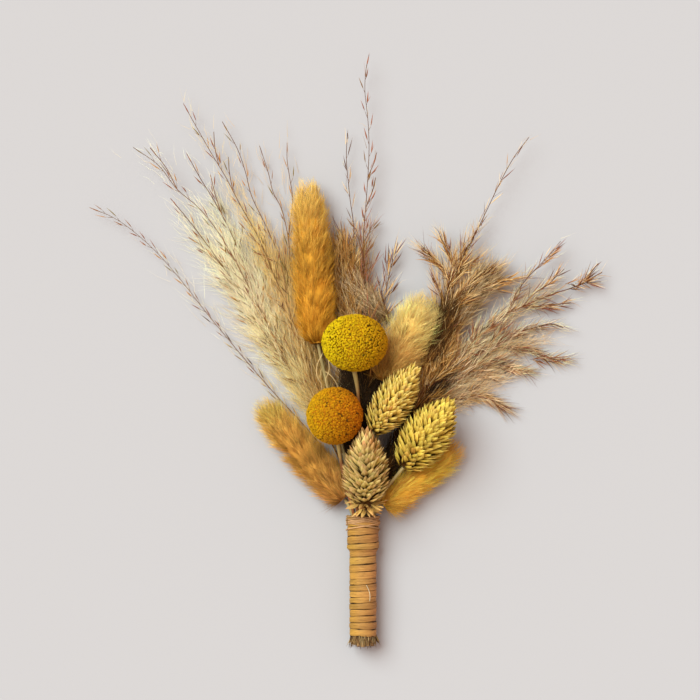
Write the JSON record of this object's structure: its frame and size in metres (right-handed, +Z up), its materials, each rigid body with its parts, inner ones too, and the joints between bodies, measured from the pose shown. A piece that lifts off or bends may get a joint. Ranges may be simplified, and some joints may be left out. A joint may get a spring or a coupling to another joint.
{
  "type": "bunch of dried grasses and flowers",
  "caption": "Small flat-lying dried posy: airy reed-grass sprays behind bunny tails, canary grass heads and round yellow billy buttons, stems bound with raffia.",
  "frame": {"origin": "on the surface that the bunch lies on, under the middle of its bounding box", "axes": "+Y from the cut stem ends to the tips, +Z up from the surface to the side that faces the viewer, +X to the right as seen from above"},
  "size_m": [0.1864, 0.2144, 0.0311],
  "materials": {
    "raffia": "satin",
    "stem": "matte",
    "canary_grass": "matte",
    "button_yellow": "matte",
    "button_orange": "matte",
    "bunny_tail": "matte",
    "straw_spray": "matte",
    "brown_spray": "matte"
  },
  "bodies": {
    "root": {"raffia_binding": "raffia", "canary_grass_low": "canary_grass", "canary_grass_low_stem": "stem", "canary_grass_mid": "canary_grass", "canary_grass_mid_stem": "stem", "canary_grass_right": "canary_grass", "canary_grass_right_stem": "stem", "billy_button_upper": "button_yellow", "billy_button_upper_stem": "stem", "billy_button_lower": "button_orange", "billy_button_lower_stem": "stem", "bunny_tail_tall": "bunny_tail", "bunny_tail_tall_stem": "stem", "bunny_tail_upper_right": "bunny_tail", "bunny_tail_upper_right_stem": "stem", "bunny_tail_lower_left": "bunny_tail", "bunny_tail_lower_left_stem": "stem", "bunny_tail_lower_right": "bunny_tail", "bunny_tail_lower_right_stem": "stem", "spray_left_1": "straw_spray", "spray_left_2": "straw_spray", "spray_left_3": "straw_spray", "spray_left_4": "straw_spray", "spray_left_5": "straw_spray", "spray_middle_1": "brown_spray", "spray_middle_2": "brown_spray", "spray_right_1": "brown_spray", "spray_right_2": "brown_spray", "spray_right_3": "brown_spray"}
  },
  "joints": []
}
